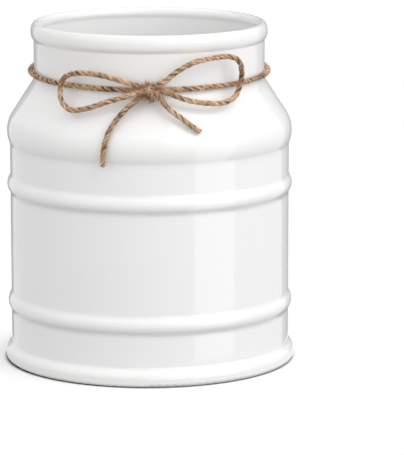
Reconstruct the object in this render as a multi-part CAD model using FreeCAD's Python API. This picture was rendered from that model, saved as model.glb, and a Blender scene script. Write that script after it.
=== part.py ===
# A round ceramic utensil crock with one length of twine tied in a bow at the foot of its neck.
# Millimetres, +Z up. The origin is the centre of the plane that the foot ring rests on.
# The bow is at the front, towards -Y.
import FreeCAD
import Part
import math
import os

Vector = FreeCAD.Vector

# Crock: overall height and walls
crock_height = 174.6
wall_radius = 71.7
neck_radius = 59.1
wall_thickness = 5.0
neck_thickness = 2.8
floor_thickness = 6.5
floor_round = 9.0

# Crock: rim, a bead that bulges past the neck both outside and inside
lip_thickness = 4.8
lip_overhang = 1.5
lip_crest = 1.5
lip_outer_flank = 6.0
lip_outer_upright = 1.2
lip_outer_crown = 5.0
lip_outer_crease = 1.2
lip_inner_flank = 3.5
lip_inner_crease = 4.0

# Crock: shoulder, a cone that rolls over the wall below it
shoulder_height = 119.0
shoulder_overhang = 1.45
shoulder_crown = 16.0
shoulder_crease = 3.5
shoulder_slope_deg = 33.0
neck_round = 8.0
inner_shoulder_round = 14.0

# Crock: two raised bands round the wall
band_heights = (30.5, 91.6)
band_rise = 1.6
band_crown = 6.0
band_crease_below = 3.0
band_crease_above = 4.0

# Crock: base roll, foot ring and the shallow recess inside it
base_roll_height = 4.0
base_roll_rise = 2.9
base_roll_crown = 4.6
base_roll_crease = 2.4
foot_corner = 1.8
foot_width = 8.0
foot_recess = 1.8
recess_run = 2.4
recess_round = 1.2

# Twine
twine_diameter = 2.6
twine_clearance = 0.35
tie_height = 147.9
tie_tilt_deg = 1.7
knot_half_angle_deg = 12.0
knot_lead = 5.0

# Twine route, in the order that the twine runs, by hand. Each point is the distance round the
# neck from the front (positive to the right), the height above the tie, and how far the middle
# of the twine stands off the crock there.
tail_left_route = (
    (-18.9, -36.0, 3.3),
    (-18.5, -30.0, 2.8),
    (-17.8, -24.2, 2.5),
    (-16.4, -18.8, 2.8),
    (-13.8, -13.4, 3.8),
    (-10.1, -8.4, 5.2),
    (-6.5, -5.0, 5.9),
    (-3.2, -2.4, 5.6),
    (0.2, -0.2, 5.2),
    (3.4, 0.7, 5.3),
)
loop_right_route = (
    (7.6, -0.4, 6.5),
    (15.5, -3.8, 6.6),
    (24.0, -6.1, 6.3),
    (33.2, -7.2, 6.0),
    (40.6, -5.2, 6.2),
    (45.4, 0.2, 6.6),
    (46.5, 6.8, 6.9),
    (44.6, 13.4, 6.9),
    (38.0, 16.4, 7.0),
    (28.2, 16.2, 7.1),
    (18.8, 14.2, 7.1),
    (11.0, 9.9, 6.5),
)
wrap_route = (
    (6.4, 5.5, 6.0),
    (3.1, 4.0, 6.5),
    (0.3, 4.3, 8.1),
    (-0.9, 3.1, 10.8),
    (0.1, 0.2, 11.7),
    (1.1, -2.5, 10.1),
    (1.5, -3.8, 6.8),
    (0.9, -3.9, 3.7),
    (-1.6, -2.8, 2.0),
)
loop_left_route = (
    (3.6, 0.5, 1.9),
    (0.2, 0.6, 2.1),
    (-3.2, 1.3, 3.0),
    (-6.9, 2.9, 4.9),
    (-13.7, 6.0, 6.4),
    (-21.6, 8.2, 7.0),
    (-29.1, 9.0, 7.0),
    (-36.3, 7.9, 6.8),
    (-41.8, 4.9, 6.7),
    (-43.7, -0.1, 6.5),
    (-42.7, -5.4, 6.1),
    (-39.0, -9.1, 5.5),
    (-35.1, -11.0, 5.0),
    (-31.1, -10.3, 5.0),
    (-25.7, -8.4, 5.5),
    (-19.5, -5.6, 6.2),
    (-12.0, -3.1, 6.7),
)
tail_right_route = (
    (-6.6, -1.1, 7.3),
    (-3.1, 0.3, 8.1),
    (0.2, 0.7, 8.3),
    (3.0, -0.6, 8.3),
    (5.3, -4.2, 7.0),
    (8.6, -8.8, 5.4),
    (13.2, -13.1, 4.1),
    (17.2, -17.1, 3.0),
    (20.5, -19.9, 2.6),
)

# Share of the shorter run that a bend of the twine takes up beside a point of its route
bend_run_share = 0.45
full_turn_deg = 360.0
same_point = 1e-6

# Sizes that follow from the ones above
wall_inner = wall_radius - wall_thickness
neck_inner = neck_radius - neck_thickness
lip_radius = neck_radius + lip_overhang
lip_half = lip_thickness / 2
lip_middle = lip_radius - lip_half
lip_top = crock_height - lip_crest
lip_inner_bulge = neck_inner - (lip_radius - lip_thickness)
base_roll_radius = wall_radius + base_roll_rise
foot_outer = base_roll_radius - foot_corner
foot_inner = foot_outer - foot_width
inner_floor = foot_recess + floor_thickness
shoulder_slope = math.radians(shoulder_slope_deg)
shoulder_radius = wall_radius + shoulder_overhang
shoulder_centre = shoulder_radius - shoulder_crown
cone_foot_radius = shoulder_centre + shoulder_crown * math.cos(shoulder_slope)
cone_foot_height = shoulder_height + shoulder_crown * math.sin(shoulder_slope)
cone_top_height = cone_foot_height + (cone_foot_radius - neck_radius) / math.tan(shoulder_slope)
twine_radius = twine_diameter / 2
tie_radius = neck_radius + twine_radius + twine_clearance
tie_tilt = math.radians(tie_tilt_deg)
knot_half_angle = math.radians(knot_half_angle_deg)


# Outline helpers, in the plane of a radius and a height

def at(radius, height):
    return Vector(radius, 0, height)


def round_arc(centre, radius, start_deg, end_deg):
    """An arc about a point of the outline, from one angle to another."""
    def on_arc(degrees):
        turn = math.radians(degrees)
        return centre + at(radius * math.cos(turn), radius * math.sin(turn))
    return Part.Arc(on_arc(start_deg), on_arc((start_deg + end_deg) / 2), on_arc(end_deg))


def corner_arc(before, corner, after, radius):
    """The arc that rounds a corner between two straight runs."""
    back = (before - corner).normalize()
    ahead = (after - corner).normalize()
    half_open = back.getAngle(ahead) / 2
    middle = (back + ahead).normalize()
    reach = radius / math.tan(half_open)
    depth = radius / math.sin(half_open) - radius
    return Part.Arc(corner + back * reach, corner + middle * depth, corner + ahead * reach)


def chain(items):
    """Edges through points and arcs in order, with straight lines between them."""
    edges = []
    last = None
    for item in items:
        is_point = isinstance(item, Vector)
        start = item if is_point else item.StartPoint
        if last is not None and last.distanceToPoint(start) > same_point:
            edges.append(Part.LineSegment(last, start).toShape())
        if not is_point:
            edges.append(item.toShape())
        last = item if is_point else item.EndPoint
    return edges


def crease_angle(rise, crown, crease):
    """Angle, seen from a crease's centre, at which the crease meets the crown of a bulge."""
    along = rise - crown - crease
    return math.degrees(math.atan2(math.sqrt((crown + crease) ** 2 - along ** 2), along))


def crease_reach(rise, crown, crease):
    """Height from the crest of a bulge to the far end of its crease."""
    return math.sqrt(rise * (2 * (crown + crease) - rise))


def bulge_below(radius, crest, rise, crown, crease):
    """Crease and lower half of a bulge on an upright wall, going up to the crest."""
    angle = crease_angle(rise, crown, crease)
    crease_centre = at(radius + crease, crest - crease_reach(rise, crown, crease))
    crown_centre = at(radius + rise - crown, crest)
    return [round_arc(crease_centre, crease, 180, angle), round_arc(crown_centre, crown, angle - 180, 0)]


def bulge_above(radius, crest, rise, crown, crease):
    """Upper half and crease of a bulge on an upright wall, going up from the crest."""
    angle = crease_angle(rise, crown, crease)
    crease_centre = at(radius + crease, crest + crease_reach(rise, crown, crease))
    crown_centre = at(radius + rise - crown, crest)
    return [round_arc(crown_centre, crown, 0, 180 - angle), round_arc(crease_centre, crease, -angle, -180)]


# Crock

def underside_outline():
    """Recess, foot ring and base roll, from the axis out and up to the wall."""
    recess_edge = at(foot_inner - recess_run, foot_recess)
    foot_edge = at(foot_inner, 0)
    foot_end = at(foot_outer + foot_corner, 0)
    roll_side = at(base_roll_radius, base_roll_height)
    roll = bulge_above(wall_radius, base_roll_height, base_roll_rise, base_roll_crown, base_roll_crease)
    return [
        at(0, foot_recess),
        corner_arc(at(0, foot_recess), recess_edge, foot_edge, recess_round),
        foot_edge,
        corner_arc(foot_edge, foot_end, roll_side, foot_corner),
    ] + roll


def band_outline(height):
    below = bulge_below(wall_radius, height, band_rise, band_crown, band_crease_below)
    above = bulge_above(wall_radius, height, band_rise, band_crown, band_crease_above)
    return below + above


def shoulder_outline():
    """The roll over the wall, the cone and the round into the neck."""
    angle = crease_angle(shoulder_overhang, shoulder_crown, shoulder_crease)
    reach = crease_reach(shoulder_overhang, shoulder_crown, shoulder_crease)
    crease_centre = at(wall_radius + shoulder_crease, shoulder_height - reach)
    crown_centre = at(shoulder_centre, shoulder_height)
    cone_foot = at(cone_foot_radius, cone_foot_height)
    cone_top = at(neck_radius, cone_top_height)
    return [
        round_arc(crease_centre, shoulder_crease, 180, angle),
        round_arc(crown_centre, shoulder_crown, angle - 180, shoulder_slope_deg),
        corner_arc(cone_foot, cone_top, at(neck_radius, lip_top), neck_round),
    ]


def flank_reach(flank):
    """How far a flank's centre lies across and down from the crest's, so that the two arcs meet smoothly."""
    across = flank - lip_half
    return across, math.sqrt((flank - lip_crest) ** 2 - across ** 2)


def lip_outline():
    """The rim bead, from the crease outside it over the top to the crease inside it."""
    crest_centre = at(lip_middle, lip_top)
    outer_across, outer_down = flank_reach(lip_outer_flank)
    inner_across, inner_down = flank_reach(lip_inner_flank)
    outer_centre = crest_centre - at(outer_across, outer_down)
    inner_centre = crest_centre + at(inner_across, -inner_down)
    outer_angle = math.degrees(math.atan2(outer_down, outer_across))
    inner_angle = math.degrees(math.atan2(inner_down, -inner_across))
    outer_crest = outer_centre.z - lip_outer_upright
    outside = bulge_below(neck_radius, outer_crest, lip_overhang, lip_outer_crown, lip_outer_crease)
    angle = crease_angle(lip_inner_bulge, lip_inner_flank, lip_inner_crease)
    reach = crease_reach(lip_inner_bulge, lip_inner_flank, lip_inner_crease)
    crease_centre = at(neck_inner - lip_inner_crease, inner_centre.z - reach)
    return outside + [
        round_arc(outer_centre, lip_outer_flank, 0, outer_angle),
        round_arc(crest_centre, lip_crest, outer_angle, inner_angle),
        round_arc(inner_centre, lip_inner_flank, inner_angle, 360 - angle),
        round_arc(crease_centre, lip_inner_crease, 180 - angle, 0),
    ]


def inside_outline():
    """The smooth inner wall, a wall's thickness behind the outer one, down to the floor."""
    offset = at(wall_thickness * math.cos(shoulder_slope), wall_thickness * math.sin(shoulder_slope))
    on_cone = at(cone_foot_radius, cone_foot_height) - offset

    def cone_point(radius):
        return at(radius, on_cone.z - (radius - on_cone.x) / math.tan(shoulder_slope))

    cone_top = cone_point(neck_inner)
    cone_foot = cone_point(wall_inner)
    floor_edge = at(wall_inner, inner_floor)
    floor_middle = at(0, inner_floor)
    return [
        corner_arc(at(neck_inner, lip_top), cone_top, cone_foot, neck_round + wall_thickness),
        corner_arc(cone_top, cone_foot, floor_edge, inner_shoulder_round),
        corner_arc(cone_foot, floor_edge, floor_middle, floor_round),
        floor_middle,
    ]


def make_crock():
    bands = []
    for height in band_heights:
        bands += band_outline(height)
    outline = underside_outline() + bands + shoulder_outline() + lip_outline() + inside_outline()
    outline.append(at(0, foot_recess))
    face = Part.Face(Part.Wire(chain(outline)))
    return face.revolve(Vector(), Vector(0, 0, 1), full_turn_deg)


# Twine

def crock_radius(height):
    """Radius of the crock's outside at the heights that the bow covers, creases left out."""
    if height >= cone_top_height:
        return neck_radius
    if height >= cone_foot_height:
        return cone_foot_radius - (height - cone_foot_height) * math.tan(shoulder_slope)
    below_crest = shoulder_height - height
    rolled = shoulder_centre + math.sqrt(max(shoulder_crown ** 2 - below_crest ** 2, 0))
    return max(rolled, wall_radius)


def seat(round_neck, up, stand_off):
    """A point of the twine's route, placed on the crock."""
    height = tie_height + up
    turn = round_neck / neck_radius
    radius = crock_radius(height) + stand_off
    return Vector(radius * math.sin(turn), -radius * math.cos(turn), height)


def tie_ring(turn):
    """A point of the twine's ring round the neck, by its angle from the front, and its direction."""
    across = Vector(1, 0, 0)
    backwards = Vector(0, math.cos(tie_tilt), math.sin(tie_tilt))
    centre = Vector(0, 0, tie_height + tie_radius * math.sin(tie_tilt))
    point = centre + (across * math.sin(turn) - backwards * math.cos(turn)) * tie_radius
    return point, across * math.cos(turn) + backwards * math.sin(turn)


def bend(before, point, after):
    """The widest bend that the two runs beside a point of the route leave room for."""
    half_turn = (point - before).getAngle(after - point) / 2
    radius = bend_run_share * min(point.distanceToPoint(before), point.distanceToPoint(after))
    radius /= math.tan(half_turn)
    return corner_arc(before, point, after, radius)


def stretch_paths(route):
    """Splits a route of named stretches into one list of points and arcs for each stretch.

    A stretch ends halfway along the run to the next one, so the two meet on one flat round face.
    """
    names = list(route)
    points = []
    for name in names:
        points += [(name, point) for point in route[name]]
    paths = {name: [] for name in names}
    for index, (name, point) in enumerate(points):
        first = index == 0
        last = index == len(points) - 1
        if first or last:
            paths[name].append(point)
        else:
            paths[name].append(bend(points[index - 1][1], point, points[index + 1][1]))
        if not last and points[index + 1][0] != name:
            meeting = (point + points[index + 1][1]) / 2
            paths[name].append(meeting)
            paths[points[index + 1][0]].append(meeting)
    return paths


def twine_paths():
    """The path of each stretch of the twine: tails, loops, wrap and the ring round the neck."""
    left_end, left_way = tie_ring(-knot_half_angle)
    right_end, right_way = tie_ring(knot_half_angle)
    left_lead = left_end + left_way * knot_lead
    right_lead = right_end - right_way * knot_lead
    into_ring = {
        "bow_tail_left": [seat(*row) for row in tail_left_route],
        "bow_loop_right": [seat(*row) for row in loop_right_route],
        "bow_wrap": [seat(*row) for row in wrap_route] + [left_lead],
        "neck_ring": [left_end],
    }
    out_of_ring = {
        "neck_ring": [right_end],
        "bow_loop_left": [right_lead] + [seat(*row) for row in loop_left_route],
        "bow_tail_right": [seat(*row) for row in tail_right_route],
    }
    paths = stretch_paths(into_ring)
    paths_out = stretch_paths(out_of_ring)
    back, _ = tie_ring(math.pi)
    left_side, _ = tie_ring((-knot_half_angle - math.pi) / 2)
    right_side, _ = tie_ring((knot_half_angle + math.pi) / 2)
    paths["neck_ring"] += [Part.Arc(left_end, left_side, back), Part.Arc(back, right_side, right_end)]
    paths["neck_ring"] += paths_out.pop("neck_ring")
    paths.update(paths_out)
    return paths


def make_twine(path):
    """A round tube along the path."""
    edges = chain(path)
    start = edges[0].Vertexes[0].Point
    direction = edges[0].tangentAt(edges[0].FirstParameter)
    section = Part.Wire(Part.Circle(start, direction, twine_radius).toShape())
    return Part.Wire(edges).makePipeShell([section], True, False)


def report_twine(name, path, solid):
    """Prints a stretch's length, its tightest bend and its volume beside section times length."""
    edges = chain(path)
    length = sum(edge.Length for edge in edges)
    tightest = min(edge.Curve.Radius for edge in edges if isinstance(edge.Curve, Part.Circle))
    share = solid.Volume / (math.pi * twine_radius ** 2 * length)
    print(f"{name}: length {length:.1f}, tightest bend {tightest:.2f}, volume share {share:.4f}")
    return length


os.makedirs("parts", exist_ok=True)
make_crock().exportStep("parts/crock_body.step")
twine_length = 0
for stretch, stretch_path in twine_paths().items():
    tube = make_twine(stretch_path)
    twine_length += report_twine(stretch, stretch_path, tube)
    tube.exportStep("parts/" + stretch + ".step")
print(f"twine length {twine_length:.1f}")
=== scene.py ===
# The looks of a white-glazed ceramic utensil crock with jute twine tied in a bow round its neck.
# Metres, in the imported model's frame: +Z up, the bow towards -Y.
import math

import bpy
import numpy as np
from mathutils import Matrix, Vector


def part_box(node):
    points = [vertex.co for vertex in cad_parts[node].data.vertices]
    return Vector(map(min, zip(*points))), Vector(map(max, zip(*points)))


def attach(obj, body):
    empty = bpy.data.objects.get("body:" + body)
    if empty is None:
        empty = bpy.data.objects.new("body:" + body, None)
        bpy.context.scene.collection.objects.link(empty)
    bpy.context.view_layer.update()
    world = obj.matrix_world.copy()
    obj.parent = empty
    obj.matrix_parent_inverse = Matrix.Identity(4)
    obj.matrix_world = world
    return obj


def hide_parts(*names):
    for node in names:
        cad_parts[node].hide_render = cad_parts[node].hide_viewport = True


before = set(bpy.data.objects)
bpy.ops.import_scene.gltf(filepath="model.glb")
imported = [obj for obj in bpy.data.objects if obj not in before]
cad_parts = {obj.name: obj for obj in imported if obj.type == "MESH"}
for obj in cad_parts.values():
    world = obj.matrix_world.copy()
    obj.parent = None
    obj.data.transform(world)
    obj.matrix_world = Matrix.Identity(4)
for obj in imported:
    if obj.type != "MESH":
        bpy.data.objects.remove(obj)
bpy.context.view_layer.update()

# Picture and camera
picture_width = 404
picture_height = 455
focal_pixels = 3096.33
sensor_width = 36.0
camera_distance = 1.6
camera_elevation_deg = 10.39
aim_height = 0.085
aim_column = 148.8
aim_row = 193.3

# Crock, as far as the twine and the glaze follow it
neck_radius = 0.0591
wall_radius = 0.0717
shoulder_height = 0.119
shoulder_overhang = 0.00145
shoulder_crown = 0.016
shoulder_slope = math.radians(33.0)
foot_inner = 0.0648
base_roll_height = 0.004
band_heights = (0.0305, 0.0916)
lip_height = 0.1704

# Glaze: where it runs thin over a crest, and the painted shade in the crease below a band or the
# shoulder, as heights from the crest at which the painted shade starts, is full, is still full and ends
thin_reach = 0.0028
band_painted_shade = (-0.0012, -0.0034, -0.0047, -0.0066)
shoulder_painted_shade = (-0.0038, -0.0060, -0.0076, -0.0098)

# Twine
twine_diameter = 0.0026
twine_clearance = 0.00035
tie_height = 0.1479
tie_tilt = math.radians(1.7)
tie_radius = neck_radius + twine_diameter / 2 + twine_clearance
knot_half_angle = math.radians(12.0)
knot_lead = 0.005
ring_point_count = 22

# Twine line: the spline's steps between control points, and its order
line_resolution = 24
line_order = 3

# Twine route, in the order that the twine runs. Each point is the distance round the neck from
# the front (positive to the right), the height above the tie, and how far the middle of the twine
# stands off the crock there.
tail_left_route = (
    (-0.0185, -0.0360, 0.0033),
    (-0.0182, -0.0300, 0.0028),
    (-0.0175, -0.0242, 0.0025),
    (-0.0164, -0.0188, 0.0028),
    (-0.0138, -0.0134, 0.0038),
    (-0.0101, -0.0084, 0.0052),
    (-0.0065, -0.0050, 0.0059),
    (-0.0032, -0.0024, 0.0056),
    (0.0002, -0.0002, 0.0052),
    (0.0034, 0.0007, 0.0053),
)
loop_right_route = (
    (0.0076, -0.0004, 0.0065),
    (0.0155, -0.0043, 0.0066),
    (0.0240, -0.0064, 0.0063),
    (0.0332, -0.0073, 0.0060),
    (0.0404, -0.0055, 0.0062),
    (0.0450, 0.0001, 0.0066),
    (0.0460, 0.0068, 0.0069),
    (0.0442, 0.0133, 0.0069),
    (0.0378, 0.0159, 0.0070),
    (0.0282, 0.0156, 0.0071),
    (0.0188, 0.0138, 0.0071),
    (0.0110, 0.0088, 0.0066),
)
wrap_route = (
    (0.0066, 0.0042, 0.0064),
    (0.0034, 0.0029, 0.0070),
    (0.0006, 0.0030, 0.0086),
    (-0.0007, 0.0022, 0.0110),
    (0.0001, 0.0002, 0.0117),
    (0.0011, -0.0025, 0.0101),
    (0.0015, -0.0038, 0.0068),
    (0.0009, -0.0039, 0.0037),
    (-0.0016, -0.0028, 0.0020),
)
loop_left_route = (
    (0.0036, 0.0005, 0.0019),
    (0.0002, 0.0006, 0.0021),
    (-0.0032, 0.0013, 0.0030),
    (-0.0069, 0.0029, 0.0049),
    (-0.0137, 0.0055, 0.0064),
    (-0.0216, 0.0076, 0.0070),
    (-0.0291, 0.0083, 0.0070),
    (-0.0363, 0.0076, 0.0068),
    (-0.0418, 0.0049, 0.0067),
    (-0.0437, -0.0001, 0.0065),
    (-0.0427, -0.0054, 0.0061),
    (-0.0390, -0.0088, 0.0055),
    (-0.0351, -0.0106, 0.0050),
    (-0.0311, -0.0100, 0.0050),
    (-0.0257, -0.0084, 0.0055),
    (-0.0195, -0.0056, 0.0062),
    (-0.0120, -0.0031, 0.0067),
)
tail_right_route = (
    (-0.0066, -0.0011, 0.0073),
    (-0.0031, 0.0003, 0.0081),
    (0.0002, 0.0007, 0.0083),
    (0.0030, -0.0006, 0.0083),
    (0.0053, -0.0042, 0.0070),
    (0.0086, -0.0088, 0.0054),
    (0.0134, -0.0130, 0.0041),
    (0.0175, -0.0169, 0.0030),
    (0.0207, -0.0197, 0.0026),
)

# Plies of the twine. Each wanders a little in size and twist, and has flutes, the bundles of its fibres
ply_count = 3
ply_sides = 14
ply_step = 0.00035
ply_offset = 0.00067
ply_depth = 0.00074
ply_width = 0.00085
ply_pitch = 0.0123
ply_pitch_wander_share = 0.10
ply_size_wander_share = 0.07
ply_wander_run = 0.009
ply_pitch_wander_runs = 3
flute_count = 4
flute_depth = 0.00005
flute_pitch = 0.0135

# Loose fibres on the twine. Size shares are of the fibre's radius, leans are a fibre's slope out of
# the twine, and the darkest is the lowest value that a fibre draws at random for the painted groove
# shade's ramp. The side hint is a direction that the sides of a fibre's tube are laid out from.
fibre_count = 2600
fibre_radius = 0.000032
fibre_lengths = (0.0014, 0.0048)
fibre_length_shares = (0.4, 1.0)
fibre_steps = 6
fibre_sides = 3
fibre_curl = 0.13
fibre_jitter_share = 0.4
fibre_taper_share = 0.75
fibre_root_share = 0.88
fibre_side_hint = (0.3, 0.2, 0.9)
fibre_leans = (0.1, 0.8)
fibre_size_shares = (0.7, 1.3)
fibre_darkest = 0.80
fibre_tone_range = (0.0, 60.0)
end_fibre_count = 34
end_fibre_lengths = (0.0005, 0.0016)
end_fibre_leans = (0.0, 0.5)

# Coarser fibres worked loose in the knot, and the tuft on top of it, with places as in the route
knot_place = (0.0, 0.0, 0.005)
knot_reach = 0.0095
knot_fibre_count = 800
knot_fibre_radius = 0.000095
knot_fibre_lengths = (0.0014, 0.0030)
knot_fibre_leans = (0.0, 0.5)
knot_fibre_size_shares = (0.7, 2.2)
knot_fibre_curl = 0.65
knot_fibre_darkest = 0.77
tuft_place = (-0.0008, 0.0029, 0.0092)
tuft_fibre_count = 110
tuft_lengths = (0.0014, 0.0034)
tuft_spread = 0.0006
tuft_splay = 0.28

random_seed = 11

# Most values of a noise lie in this range
noise_range = (0.3, 0.7)

# Glaze finish, with linear colours
glaze_white = (0.86, 0.86, 0.855)
# Painted shade: the greys for the creases below the bands and the shoulder
glaze_painted_shade = (0.742, 0.747, 0.747)
glaze_half_painted_shade = (0.817, 0.821, 0.821)
glaze_thin = (0.875, 0.870, 0.860)
glaze_roughness = (0.06, 0.11)
glaze_index = 1.5
cloud_scale = 26.0
cloud_detail = 3.0
cloud_shares = (0.8, 1.0)
gloss_scale = 70.0
gloss_detail = 2.0
ripple_scale = 45.0
ripple_detail = 1.0
ripple_strength = 0.35
ripple_height = 0.0004

# Bare clay on the foot ring: how high it reaches, how far inside the ring, and its ragged edge
bisque = (0.64, 0.585, 0.50)
bisque_added_roughness = 0.7
bare_height = 0.0004
bare_margin = 0.0006
ragged_width = 0.0003
ragged_scale = 420.0
ragged_detail = 2.0

# Jute finish, with linear colours
jute_dark = (0.117, 0.067, 0.037)
jute_brown = (0.350, 0.210, 0.114)
jute_tan = (0.594, 0.392, 0.239)
jute_straw = (0.795, 0.588, 0.398)
jute_blond = (0.93, 0.74, 0.54)
jute_red = (0.498, 0.254, 0.164)
jute_roughness = 0.82
jute_sheen = 0.12
jute_sheen_roughness = 0.45
ply_stops = ((0.0, jute_dark), (0.32, jute_brown), (0.66, jute_tan), (1.0, jute_straw))
# The loose fibres run paler than the plies: partly their own paler colour, partly painted light where
# they catch it
fibre_stops = ((0.0, jute_brown), (0.25, jute_tan), (0.55, jute_straw), (1.0, jute_blond))
# Painted shade: the plies darken towards the twine's middle, where they lie in against each other,
# unevenly by a noise
painted_groove_shade_stops = (
    (0.57, (0.04, 0.03, 0.02)),
    (0.69, (0.27, 0.23, 0.20)),
    (0.80, (0.88, 0.87, 0.86)),
    (0.88, (1.0, 1.0, 1.0)),
)
groove_scale = 260.0
groove_detail = 1.0
groove_wander = 0.16
streak_round = 1.7
streak_along = 330.0
streak_ply_gap = 40.0
streak_scale = 1.0
streak_detail = 3.0
streak_range = (0.40, 0.62)
streak_strength = 0.6
streak_height = 0.00012
patch_scale = 95.0
patch_detail = 2.0
patch_share = 0.32
red_scale = 55.0
red_detail = 1.0
red_range = (0.55, 0.70)
red_share = 0.5

# Stage: the painted contact shadow at the foot leans a little to the front left
white = (1.0, 1.0, 1.0)
black = (0.0, 0.0, 0.0)
ambient_grey = (0.885, 0.885, 0.885)
floor_white = (0.95, 0.95, 0.95)
floor_grey = (0.40, 0.40, 0.40)
floor_painted_shadow = (0.05, 0.05, 0.05)
floor_half_width = 8.0
painted_shadow_radii = (0.0733, 0.0756)
painted_shadow_lean = (-0.0005, -0.0004, 0.0)
shadow_radius = 0.0760
plain_radius = 0.095

# Cards that only reflections see: radius, turns from the back and height of the foot, the same of
# the top, and the brightness
cards = {
    "dark_card": (
        (0.092, (math.radians(-72), math.radians(84)), 0.0),
        (0.24, (math.radians(-42), math.radians(58)), 0.45),
        0.34,
    ),
    "bright_strip": (
        (0.12, (math.radians(128), math.radians(154)), 0.0),
        (0.12, (math.radians(128), math.radians(154)), 0.135),
        2.4,
    ),
}
card_sides = 32

# Lamps: place, width, height, power in watts
lamps = {
    "key_softbox": ((0.98, -0.80, 0.45), 1.9, 1.5, 6.5),
    "high_right_softbox": ((0.78, -0.60, 1.18), 0.9, 0.9, 4.2),
    "front_softbox": ((-0.05, -1.40, 0.90), 2.0, 1.4, 1.8),
    "left_softbox": ((-1.10, -0.80, 0.60), 1.2, 1.2, 1.6),
    "back_softbox": ((0.0, 0.60, 1.10), 1.0, 0.6, 0.6),
}
lamp_target = Vector((0.0, 0.0, 0.09))


# Node helpers

def new_material(name):
    """A node material, its nodes and its shader."""
    material = bpy.data.materials.new(name)
    material.use_nodes = True
    return material, material.node_tree, material.node_tree.nodes["Principled BSDF"]


def noise(tree, vector, scale, detail):
    node = tree.nodes.new("ShaderNodeTexNoise")
    node.inputs["Scale"].default_value = scale
    node.inputs["Detail"].default_value = detail
    tree.links.new(vector, node.inputs["Vector"])
    return node.outputs["Fac"]


def ramp(tree, factor, stops):
    """A colour ramp through (place, colour) stops."""
    node = tree.nodes.new("ShaderNodeValToRGB")
    elements = node.color_ramp.elements
    while len(elements) < len(stops):
        elements.new(0.5)
    for element, (place, colour) in zip(elements, sorted(stops)):
        element.position = place
        element.color = (*colour, 1.0)
    tree.links.new(factor, node.inputs["Fac"])
    return node.outputs["Color"]


def remap(tree, value, from_low, from_high, to_low, to_high):
    node = tree.nodes.new("ShaderNodeMapRange")
    node.inputs["From Min"].default_value = from_low
    node.inputs["From Max"].default_value = from_high
    node.inputs["To Min"].default_value = to_low
    node.inputs["To Max"].default_value = to_high
    tree.links.new(value, node.inputs["Value"])
    return node.outputs["Result"]


def feed(tree, socket, value):
    """Puts a socket, a plain colour or a number into a socket."""
    if isinstance(value, bpy.types.NodeSocket):
        tree.links.new(value, socket)
    elif isinstance(value, tuple):
        socket.default_value = (*value, 1.0)
    else:
        socket.default_value = value


def mix_colour(tree, factor, first, second, mode="MIX"):
    """Mixes two colours, each a socket or a plain colour, by a socket or a share."""
    node = tree.nodes.new("ShaderNodeMix")
    node.data_type = "RGBA"
    node.blend_type = mode
    feed(tree, node.inputs[0], factor)
    feed(tree, node.inputs[6], first)
    feed(tree, node.inputs[7], second)
    return node.outputs[2]


def mix_number(tree, share, first, second):
    node = tree.nodes.new("ShaderNodeMix")
    feed(tree, node.inputs[0], share)
    feed(tree, node.inputs[2], first)
    feed(tree, node.inputs[3], second)
    return node.outputs[0]


def attribute(tree, label, output):
    """A value that the mesh carries at each of its points."""
    node = tree.nodes.new("ShaderNodeAttribute")
    node.attribute_name = label
    return node.outputs[output]


def arithmetic(tree, operation, first, second):
    node = tree.nodes.new("ShaderNodeMath")
    node.operation = operation
    feed(tree, node.inputs[0], first)
    feed(tree, node.inputs[1], second)
    return node.outputs[0]


def vector_value(tree, operation, *vectors):
    """A number worked out from vectors, such as a length."""
    node = tree.nodes.new("ShaderNodeVectorMath")
    node.operation = operation
    for socket, vector in zip(node.inputs, vectors):
        tree.links.new(vector, socket)
    return node.outputs["Value"]


def bump(tree, shader, height, strength, distance):
    node = tree.nodes.new("ShaderNodeBump")
    node.inputs["Strength"].default_value = strength
    node.inputs["Distance"].default_value = distance
    tree.links.new(height, node.inputs["Height"])
    tree.links.new(node.outputs["Normal"], shader.inputs["Normal"])


def seen_directly(tree):
    """1 for rays from the camera, a reflection or through glass, else 0."""
    rays = tree.nodes.new("ShaderNodeLightPath").outputs
    mirrored = arithmetic(tree, "MAXIMUM", rays["Is Glossy Ray"], rays["Is Transmission Ray"])
    return arithmetic(tree, "MAXIMUM", rays["Is Camera Ray"], mirrored)


# Materials

def glaze_rings():
    """Glaze colours by height: pale over the crests, painted shade under the bands and the shoulder."""
    rings = []
    for crest in (base_roll_height, *band_heights, shoulder_height, lip_height):
        rings += [(crest, glaze_thin), (crest + thin_reach, glaze_white)]
    for crest in (base_roll_height, lip_height):
        rings.append((crest - thin_reach, glaze_white))
    # Painted shade: grey rings in the creases below the bands and the shoulder
    shade_rings = [(crest, band_painted_shade, glaze_painted_shade) for crest in band_heights]
    shade_rings.append((shoulder_height, shoulder_painted_shade, glaze_half_painted_shade))
    for crest, (start, full, still_full, end), shaded in shade_rings:
        rings += [(crest + start, glaze_white), (crest + full, shaded)]
        rings += [(crest + still_full, shaded), (crest + end, glaze_white)]
    return rings


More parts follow.
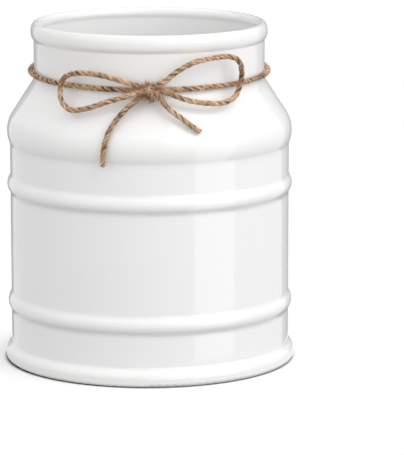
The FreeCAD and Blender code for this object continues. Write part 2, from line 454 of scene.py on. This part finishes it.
def glaze_material():
    """Glossy white glaze with grey painted shade in the creases, bare clay on the foot ring."""
    material, tree, shader = new_material("white_glaze")
    place = tree.nodes.new("ShaderNodeTexCoord").outputs["Object"]
    split = tree.nodes.new("ShaderNodeSeparateXYZ")
    tree.links.new(place, split.inputs["Vector"])
    crock_low, crock_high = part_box("crock_body")
    height = remap(tree, split.outputs["Z"], crock_low.z, crock_high.z, 0.0, 1.0)
    rings = ramp(tree, height, [(z / crock_high.z, colour) for z, colour in glaze_rings()])
    flat = tree.nodes.new("ShaderNodeCombineXYZ")
    tree.links.new(split.outputs["X"], flat.inputs["X"])
    tree.links.new(split.outputs["Y"], flat.inputs["Y"])
    normal = tree.nodes.new("ShaderNodeNewGeometry").outputs["Normal"]
    facing = vector_value(tree, "DOT_PRODUCT", flat.outputs["Vector"], normal)
    outward = arithmetic(tree, "GREATER_THAN", facing, 0.0)
    clouds = remap(tree, noise(tree, place, cloud_scale, cloud_detail), *noise_range, *cloud_shares)
    body = mix_colour(tree, arithmetic(tree, "MULTIPLY", outward, clouds), glaze_white, rings)

    edge_noise = noise(tree, place, ragged_scale, ragged_detail)
    ragged = remap(tree, edge_noise, 0.0, 1.0, -ragged_width, ragged_width)
    ragged_height = arithmetic(tree, "ADD", split.outputs["Z"], ragged)
    low = arithmetic(tree, "LESS_THAN", ragged_height, bare_height)
    radius = vector_value(tree, "LENGTH", flat.outputs["Vector"])
    ragged_radius = arithmetic(tree, "ADD", radius, ragged)
    outside = arithmetic(tree, "GREATER_THAN", ragged_radius, foot_inner - bare_margin)
    bare = arithmetic(tree, "MULTIPLY", low, outside)
    tree.links.new(mix_colour(tree, bare, body, bisque), shader.inputs["Base Color"])

    gloss_noise = noise(tree, place, gloss_scale, gloss_detail)
    polish = remap(tree, gloss_noise, *noise_range, *glaze_roughness)
    matt = arithmetic(tree, "MULTIPLY", bare, bisque_added_roughness)
    tree.links.new(arithmetic(tree, "ADD", polish, matt), shader.inputs["Roughness"])
    ripple = noise(tree, place, ripple_scale, ripple_detail)
    bump(tree, shader, ripple, ripple_strength, ripple_height)
    shader.inputs["IOR"].default_value = glaze_index
    return material


def jute_material(name, stops):
    """Jute: brown to straw in streaks along the fibres, reddish in places, with painted shade between
    the plies.
    """
    material, tree, shader = new_material(name)
    place = tree.nodes.new("ShaderNodeTexCoord").outputs["Object"]
    streaks = noise(tree, attribute(tree, "fibre_place", "Vector"), streak_scale, streak_detail)
    patches = noise(tree, place, patch_scale, patch_detail)
    mixed = mix_number(tree, patch_share, streaks, patches)
    streaked = ramp(tree, remap(tree, mixed, *streak_range, 0.0, 1.0), stops)
    redness = remap(tree, noise(tree, place, red_scale, red_detail), *red_range, 0.0, red_share)
    tinted = mix_colour(tree, redness, streaked, jute_red)

    groove_noise = noise(tree, place, groove_scale, groove_detail)
    uneven = remap(tree, groove_noise, *noise_range, -groove_wander, groove_wander)
    groove_shade = arithmetic(tree, "ADD", attribute(tree, "groove_shade", "Fac"), uneven)
    depth = ramp(tree, groove_shade, painted_groove_shade_stops)
    tree.links.new(mix_colour(tree, 1.0, tinted, depth, "MULTIPLY"), shader.inputs["Base Color"])
    bump(tree, shader, streaks, streak_strength, streak_height)
    shader.inputs["Roughness"].default_value = jute_roughness
    shader.inputs["Sheen Weight"].default_value = jute_sheen
    shader.inputs["Sheen Roughness"].default_value = jute_sheen_roughness
    return material


def floor_material():
    """Pale floor seen as plain white, apart from its shadow close to the crock and a painted contact
    shadow.
    """
    material, tree, shader = new_material("floor_pale")
    seen = seen_directly(tree)
    shader.inputs["Roughness"].default_value = 1.0
    shader.inputs["Specular IOR Level"].default_value = 0.0
    away = vector_value(tree, "LENGTH", tree.nodes.new("ShaderNodeTexCoord").outputs["Object"])
    # Painted shadow: a dark ring on the floor round the crock's foot, for rays seen directly
    outside_painted_shadow = remap(tree, away, *painted_shadow_radii, 0.0, 1.0)
    floor_with_painted_shadow = mix_colour(tree, outside_painted_shadow, floor_painted_shadow, floor_white)
    tree.links.new(mix_colour(tree, seen, floor_grey, floor_with_painted_shadow), shader.inputs["Base Color"])
    fade = remap(tree, away, shadow_radius, plain_radius, 0.0, 1.0)
    plain = tree.nodes.new("ShaderNodeEmission")
    plain.inputs["Color"].default_value = (*white, 1.0)
    mix = tree.nodes.new("ShaderNodeMixShader")
    tree.links.new(arithmetic(tree, "MULTIPLY", seen, fade), mix.inputs["Fac"])
    tree.links.new(shader.outputs["BSDF"], mix.inputs[1])
    tree.links.new(plain.outputs["Emission"], mix.inputs[2])
    tree.links.new(mix.outputs["Shader"], tree.nodes["Material Output"].inputs["Surface"])
    return material


def card_material(name, brightness):
    """An even glow."""
    material, _, shader = new_material(name)
    shader.inputs["Base Color"].default_value = (*black, 1.0)
    shader.inputs["Specular IOR Level"].default_value = 0.0
    shader.inputs["Emission Color"].default_value = (*white, 1.0)
    shader.inputs["Emission Strength"].default_value = brightness
    return material


# Route of the twine

def crock_radius(height):
    """Radius of the crock's outside at the heights that the bow covers, creases left out."""
    centre = wall_radius + shoulder_overhang - shoulder_crown
    cone_foot_radius = centre + shoulder_crown * math.cos(shoulder_slope)
    cone_foot_height = shoulder_height + shoulder_crown * math.sin(shoulder_slope)
    cone_top_height = cone_foot_height + (cone_foot_radius - neck_radius) / math.tan(shoulder_slope)
    if height >= cone_top_height:
        return neck_radius
    if height >= cone_foot_height:
        return cone_foot_radius - (height - cone_foot_height) * math.tan(shoulder_slope)
    rolled = centre + math.sqrt(max(shoulder_crown ** 2 - (shoulder_height - height) ** 2, 0))
    return max(rolled, wall_radius)


def seat(round_neck, up, stand_off):
    """A point of the twine's route, placed on the crock."""
    height = tie_height + up
    turn = round_neck / neck_radius
    radius = crock_radius(height) + stand_off
    return Vector((radius * math.sin(turn), -radius * math.cos(turn), height))


def tie_ring(turn, radius):
    """A point on the tilted ring round the neck, by its angle from the front, and the way along it."""
    across = Vector((1, 0, 0))
    backwards = Vector((0, math.cos(tie_tilt), math.sin(tie_tilt)))
    centre = Vector((0, 0, tie_height + tie_radius * math.sin(tie_tilt)))
    point = centre + (across * math.sin(turn) - backwards * math.cos(turn)) * radius
    return point, across * math.cos(turn) + backwards * math.sin(turn)


def ring_route():
    """Control points whose smooth line is the ring round the neck, from the knot's left to its right."""
    left_end, left_way = tie_ring(-knot_half_angle, tie_radius)
    right_end, right_way = tie_ring(knot_half_angle, tie_radius)
    step = (2 * math.pi - 2 * knot_half_angle) / ring_point_count
    points = [left_end + left_way * knot_lead]
    for index in range(ring_point_count):
        turn = -knot_half_angle - (index + 0.5) * step
        points.append(tie_ring(turn, tie_radius / math.cos(step / 2))[0])
    points.append(right_end - right_way * knot_lead)
    return points


def twine_route():
    """Control points of the whole twine, from the end of one tail to the end of the other."""
    into_ring = [seat(*row) for row in tail_left_route + loop_right_route + wrap_route]
    out_of_ring = [seat(*row) for row in loop_left_route + tail_right_route]
    return into_ring + ring_route() + out_of_ring


def smooth_line(points):
    """Points along the NURBS spline that has these control points."""
    curve = bpy.data.curves.new("twine_line", "CURVE")
    curve.dimensions = "3D"
    curve.resolution_u = line_resolution
    spline = curve.splines.new("NURBS")
    spline.points.add(len(points) - 1)
    for spot, point in zip(spline.points, points):
        spot.co = (*point, 1.0)
    spline.order_u = line_order
    spline.use_endpoint_u = True
    holder = bpy.data.objects.new("twine_line", curve)
    mesh = bpy.data.meshes.new_from_object(holder)
    found = np.array([vertex.co for vertex in mesh.vertices])
    bpy.data.meshes.remove(mesh)
    bpy.data.objects.remove(holder)
    bpy.data.curves.remove(curve)
    return found


class Line:
    """A line in even steps, with a frame at each step that doesn't spin round it."""

    def __init__(self, points, step):
        runs = np.linalg.norm(np.diff(points, axis=0), axis=1)
        far = np.concatenate([[0.0], np.cumsum(runs)])
        count = int(round(far[-1] / step)) + 1
        self.length = far[-1]
        self.along = np.linspace(0.0, far[-1], count)
        columns = [np.interp(self.along, far, points[:, axis]) for axis in range(3)]
        self.points = np.column_stack(columns)
        ways = np.gradient(self.points, axis=0)
        self.ways = ways / np.linalg.norm(ways, axis=1)[:, None]
        self.sides = np.zeros_like(self.ways)
        side = np.cross(self.ways[0], (0.0, 0.0, 1.0))
        for index, way in enumerate(self.ways):
            side = side - way * side.dot(way)
            side = side / np.linalg.norm(side)
            self.sides[index] = side
        self.ups = np.cross(self.ways, self.sides)


# Plies of the twine

def wander(draws, along, run):
    """Random values between -1 and 1, one for each run of a length, with straight lines between."""
    knots = np.arange(along[0], along[-1] + 2 * run, run)
    return np.interp(along, knots, draws.uniform(-1.0, 1.0, len(knots)))


def tube_faces(rings, sides, first):
    """Faces of a closed tube of vertex rings, with an end cap of one face at each end."""
    faces = []
    for ring in range(rings - 1):
        low = first + ring * sides
        for side in range(sides):
            beside = (side + 1) % sides
            faces.append((low + side, low + beside, low + sides + beside, low + sides + side))
    faces.append(tuple(first + side for side in reversed(range(sides))))
    faces.append(tuple(first + (rings - 1) * sides + side for side in range(sides)))
    return faces


def ply_shape(line, draws, phase):
    """Rings of one ply round the twine's line, and the two values that its colour follows."""
    spread = 1.0 + ply_size_wander_share * wander(draws, line.along, ply_wander_run)
    slack = ply_pitch_wander_share * wander(draws, line.along, ply_pitch_wander_runs * ply_wander_run)
    turn = 2 * math.pi * line.along / ply_pitch + phase + slack
    outward = np.cos(turn)[:, None] * line.sides + np.sin(turn)[:, None] * line.ups
    sideways = np.cos(turn)[:, None] * line.ups - np.sin(turn)[:, None] * line.sides
    round_ply = np.arange(ply_sides) * 2 * math.pi / ply_sides
    twist = -2 * math.pi * line.along / flute_pitch
    lie = round_ply[None, :] + twist[:, None]
    bundle = flute_depth * np.cos(flute_count * lie)
    deep = (ply_depth * spread[:, None] + bundle) * np.cos(round_ply)
    wide = (ply_width * spread[:, None] + bundle) * np.sin(round_ply)
    reach = ply_offset + deep
    raised = line.points[:, None, :] + reach[:, :, None] * outward[:, None, :]
    rings = raised + wide[:, :, None] * sideways[:, None, :]
    # Painted shade: the nearer a point of a ply lies to the twine's middle, the darker it is painted
    groove_shade = np.hypot(reach, wide) / (ply_offset + ply_depth)
    lengthwise = np.repeat(line.along[:, None] * streak_along, ply_sides, 1) + streak_ply_gap * phase
    streak = np.stack([streak_round * np.cos(lie), streak_round * np.sin(lie), lengthwise], -1)
    return rings.reshape(-1, 3), groove_shade.ravel(), streak.reshape(-1, 3)


def new_piece(name, vertices, faces, groove_shade, streak, material):
    """A smooth-shaded mesh with the values that the jute's colour follows."""
    mesh = bpy.data.meshes.new(name)
    mesh.from_pydata(vertices.tolist(), [], faces)
    mesh.polygons.foreach_set("use_smooth", [True] * len(mesh.polygons))
    depths = mesh.attributes.new("groove_shade", "FLOAT", "POINT")
    depths.data.foreach_set("value", groove_shade.astype(np.float32))
    places = mesh.attributes.new("fibre_place", "FLOAT_VECTOR", "POINT")
    places.data.foreach_set("vector", streak.astype(np.float32).ravel())
    mesh.materials.append(material)
    piece = bpy.data.objects.new(name, mesh)
    bpy.context.scene.collection.objects.link(piece)
    return piece


def make_plies(line, draws):
    """The twine itself: three plies laid round each other."""
    vertices, groove_shades, streaks, faces = [], [], [], []
    for ply in range(ply_count):
        rings, groove_shade, streak = ply_shape(line, draws, 2 * math.pi * ply / ply_count)
        faces += tube_faces(len(line.points), ply_sides, ply * len(rings))
        vertices.append(rings)
        groove_shades.append(groove_shade)
        streaks.append(streak)
    return new_piece(
        "jute_twine",
        np.concatenate(vertices),
        faces,
        np.concatenate(groove_shades),
        np.concatenate(streaks),
        jute_material("jute_plies", ply_stops),
    )


# Loose fibres

def fibre_path(draws, start, way, length, curl):
    """Points of one loose fibre, which keeps bending one way and jitters a little."""
    step = length / (fibre_steps - 1)
    way = way / np.linalg.norm(way)
    bend = draws.normal(0.0, curl, 3)
    points = [start]
    for _ in range(fibre_steps - 1):
        way = way + bend + draws.normal(0.0, fibre_jitter_share * curl, 3)
        way = way / np.linalg.norm(way)
        points.append(points[-1] + way * step)
    return np.array(points)


def fibre_tube(path, radius):
    """A thin tube along the fibre, finer towards its tip."""
    ways = np.gradient(path, axis=0)
    ways = ways / np.linalg.norm(ways, axis=1)[:, None]
    side = np.cross(ways[0], fibre_side_hint)
    rings = []
    for index, (point, way) in enumerate(zip(path, ways)):
        side = side - way * side.dot(way)
        side = side / np.linalg.norm(side)
        up = np.cross(way, side)
        thin = radius * (1.0 - fibre_taper_share * index / (len(path) - 1))
        for corner in range(fibre_sides):
            turn = 2 * math.pi * corner / fibre_sides
            rings.append(point + thin * (math.cos(turn) * side + math.sin(turn) * up))
    return np.array(rings)


def across_twine(line, spot, draws):
    """A random direction square to the twine at one of its steps."""
    turn = draws.uniform(0.0, 2 * math.pi)
    return math.cos(turn) * line.sides[spot] + math.sin(turn) * line.ups[spot]


def fibre_root(line, spot, outward):
    """Where a fibre starts, a little below the twine's surface."""
    return line.points[spot] + outward * fibre_root_share * twine_diameter / 2


def fibre_way(line, spot, outward, leans, draws):
    """Forwards or backwards along the twine, leaning outward."""
    return line.ways[spot] * draws.choice((-1.0, 1.0)) + outward * draws.uniform(*leans)


def surface_fibres(line, draws):
    """Fibres that stand off the twine, all along it."""
    paths = []
    for spot in draws.integers(0, len(line.points), fibre_count):
        outward = across_twine(line, spot, draws)
        way = fibre_way(line, spot, outward, fibre_leans, draws)
        length = draws.uniform(*fibre_lengths) * draws.uniform(*fibre_length_shares)
        paths.append(fibre_path(draws, fibre_root(line, spot, outward), way, length, fibre_curl))
    return paths


def knot_fibres(line, draws):
    """Curled fibres worked loose in the knot."""
    knot = np.array(seat(*knot_place))
    near_knot = np.nonzero(np.linalg.norm(line.points - knot, axis=1) < knot_reach)[0]
    paths = []
    for spot in draws.choice(near_knot, knot_fibre_count):
        outward = across_twine(line, spot, draws)
        way = fibre_way(line, spot, outward, knot_fibre_leans, draws)
        length = draws.uniform(*knot_fibre_lengths)
        paths.append(fibre_path(draws, fibre_root(line, spot, outward), way, length, knot_fibre_curl))
    return paths


def tuft_fibres(draws):
    """A short tuft that stands up out of the top of the knot."""
    root = np.array(seat(*tuft_place))
    up = np.array((0.0, 0.0, 1.0))
    paths = []
    for _ in range(tuft_fibre_count):
        start = root + draws.normal(0.0, tuft_spread, 3)
        way = up + draws.normal(0.0, tuft_splay, 3)
        paths.append(fibre_path(draws, start, way, draws.uniform(*tuft_lengths), fibre_curl))
    return paths


def end_fibres(line, draws):
    """Fibres that stick out of the twine's two cut ends."""
    paths = []
    for spot, forward in ((0, -1.0), (len(line.points) - 1, 1.0)):
        for _ in range(end_fibre_count):
            outward = across_twine(line, spot, draws)
            start = fibre_root(line, spot, outward * math.sqrt(draws.random()))
            way = line.ways[spot] * forward + outward * draws.uniform(*end_fibre_leans)
            paths.append(fibre_path(draws, start, way, draws.uniform(*end_fibre_lengths), fibre_curl))
    return paths


def make_fibres(line, draws):
    """The loose fibres, as one piece."""
    fine = surface_fibres(line, draws) + end_fibres(line, draws)
    coarse = knot_fibres(line, draws) + tuft_fibres(draws)
    kinds = (
        (fine, fibre_radius, fibre_size_shares, fibre_darkest),
        (coarse, knot_fibre_radius, knot_fibre_size_shares, knot_fibre_darkest),
    )
    point_count = fibre_steps * fibre_sides
    vertices, faces, tones, shades = [], [], [], []
    for paths, radius, size_shares, darkest in kinds:
        for path in paths:
            faces += tube_faces(fibre_steps, fibre_sides, len(vertices) * point_count)
            vertices.append(fibre_tube(path, radius * draws.uniform(*size_shares)))
            tones.append(np.full((point_count, 3), draws.uniform(*fibre_tone_range)))
            shades.append(np.full(point_count, draws.uniform(darkest, 1.0)))
    return new_piece(
        "jute_fibres",
        np.concatenate(vertices),
        faces,
        np.concatenate(shades),
        np.concatenate(tones),
        jute_material("jute_fibres", fibre_stops),
    )


# Object

def dress_crock():
    """The crock keeps its solid and gets its glaze."""
    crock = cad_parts["crock_body"]
    crock.data.materials.clear()
    crock.data.materials.append(glaze_material())


def make_twine():
    """The tied twine, which turns with its ring round the neck."""
    draws = np.random.default_rng(random_seed)
    line = Line(smooth_line(twine_route()), ply_step)
    twine = make_plies(line, draws)
    fibres = make_fibres(line, draws)
    fibres.visible_shadow = False
    for piece in (twine, fibres):
        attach(piece, "twine_tie")
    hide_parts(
        "neck_ring",
        "bow_wrap",
        "bow_loop_left",
        "bow_loop_right",
        "bow_tail_left",
        "bow_tail_right",
    )


# Stage

def make_floor():
    """A wide floor, whose origin is the middle of the painted contact shadow."""
    half = floor_half_width
    corners = [(-half, -half, 0), (half, -half, 0), (half, half, 0), (-half, half, 0)]
    mesh = bpy.data.meshes.new("floor")
    mesh.from_pydata(corners, [], [(0, 1, 2, 3)])
    mesh.materials.append(floor_material())
    floor = bpy.data.objects.new("floor", mesh)
    # The floor's place moves the painted contact shadow a little to the front left
    floor.location = painted_shadow_lean
    bpy.context.scene.collection.objects.link(floor)


def card_edge(radius, turns, height):
    """Points along the foot or the top of a curved card."""
    steps = np.linspace(*turns, card_sides + 1)
    return [(radius * math.sin(turn), radius * math.cos(turn), height) for turn in steps]


def make_card(name, foot, top, brightness):
    """A curved card close to the crock that its glaze mirrors, seen in reflections only."""
    row = card_sides + 1
    faces = [(side, side + 1, row + side + 1, row + side) for side in range(card_sides)]
    mesh = bpy.data.meshes.new(name)
    mesh.from_pydata(card_edge(*foot) + card_edge(*top), [], faces)
    mesh.materials.append(card_material(name, brightness))
    card = bpy.data.objects.new(name, mesh)
    card.visible_camera = False
    card.visible_diffuse = False
    card.visible_shadow = False
    bpy.context.scene.collection.objects.link(card)


def make_lamp(name, place, width, height, power):
    """A soft rectangular lamp that points at the crock."""
    light = bpy.data.lights.new(name, "AREA")
    light.shape = "RECTANGLE"
    light.size = width
    light.size_y = height
    light.energy = power
    lamp = bpy.data.objects.new(name, light)
    lamp.location = place
    lamp.rotation_mode = "QUATERNION"
    lamp.rotation_quaternion = (lamp_target - Vector(place)).to_track_quat("-Z", "Y")
    lamp.visible_camera = False
    bpy.context.scene.collection.objects.link(lamp)


def make_world():
    """Soft light all round. The camera and reflections see plain white."""
    world = bpy.data.worlds.new("studio")
    world.use_nodes = True
    tree = world.node_tree
    soft = tree.nodes["Background"]
    soft.inputs["Color"].default_value = (*ambient_grey, 1.0)
    plain = tree.nodes.new("ShaderNodeBackground")
    plain.inputs["Color"].default_value = (*white, 1.0)
    mix = tree.nodes.new("ShaderNodeMixShader")
    tree.links.new(seen_directly(tree), mix.inputs["Fac"])
    tree.links.new(soft.outputs["Background"], mix.inputs[1])
    tree.links.new(plain.outputs["Background"], mix.inputs[2])
    tree.links.new(mix.outputs["Shader"], tree.nodes["World Output"].inputs["Surface"])
    bpy.context.scene.world = world


def make_camera():
    """The photograph's view: the crock's axis at the aim height falls on the aim column and row."""
    elevation = math.radians(camera_elevation_deg)
    back = camera_distance * math.cos(elevation)
    height = aim_height + camera_distance * math.sin(elevation)
    down = elevation - math.atan((aim_row - picture_height / 2) / focal_pixels)
    aside = -math.atan((aim_column - picture_width / 2) / focal_pixels)
    level = math.cos(down)
    forward = Vector((math.sin(aside) * level, math.cos(aside) * level, -math.sin(down)))
    data = bpy.data.cameras.new("camera")
    data.sensor_width = sensor_width
    data.lens = focal_pixels / max(picture_width, picture_height) * sensor_width
    camera = bpy.data.objects.new("camera", data)
    camera.location = (0.0, -back, height)
    camera.rotation_mode = "QUATERNION"
    camera.rotation_quaternion = forward.to_track_quat("-Z", "Y")
    bpy.context.scene.collection.objects.link(camera)
    bpy.context.scene.camera = camera


make_camera()
make_world()
for lamp_name, lamp_shape in lamps.items():
    make_lamp(lamp_name, *lamp_shape)
make_floor()
for card_name, card_shape in cards.items():
    make_card(card_name, *card_shape)
dress_crock()
make_twine()
bpy.context.scene.view_settings.view_transform = "Standard"
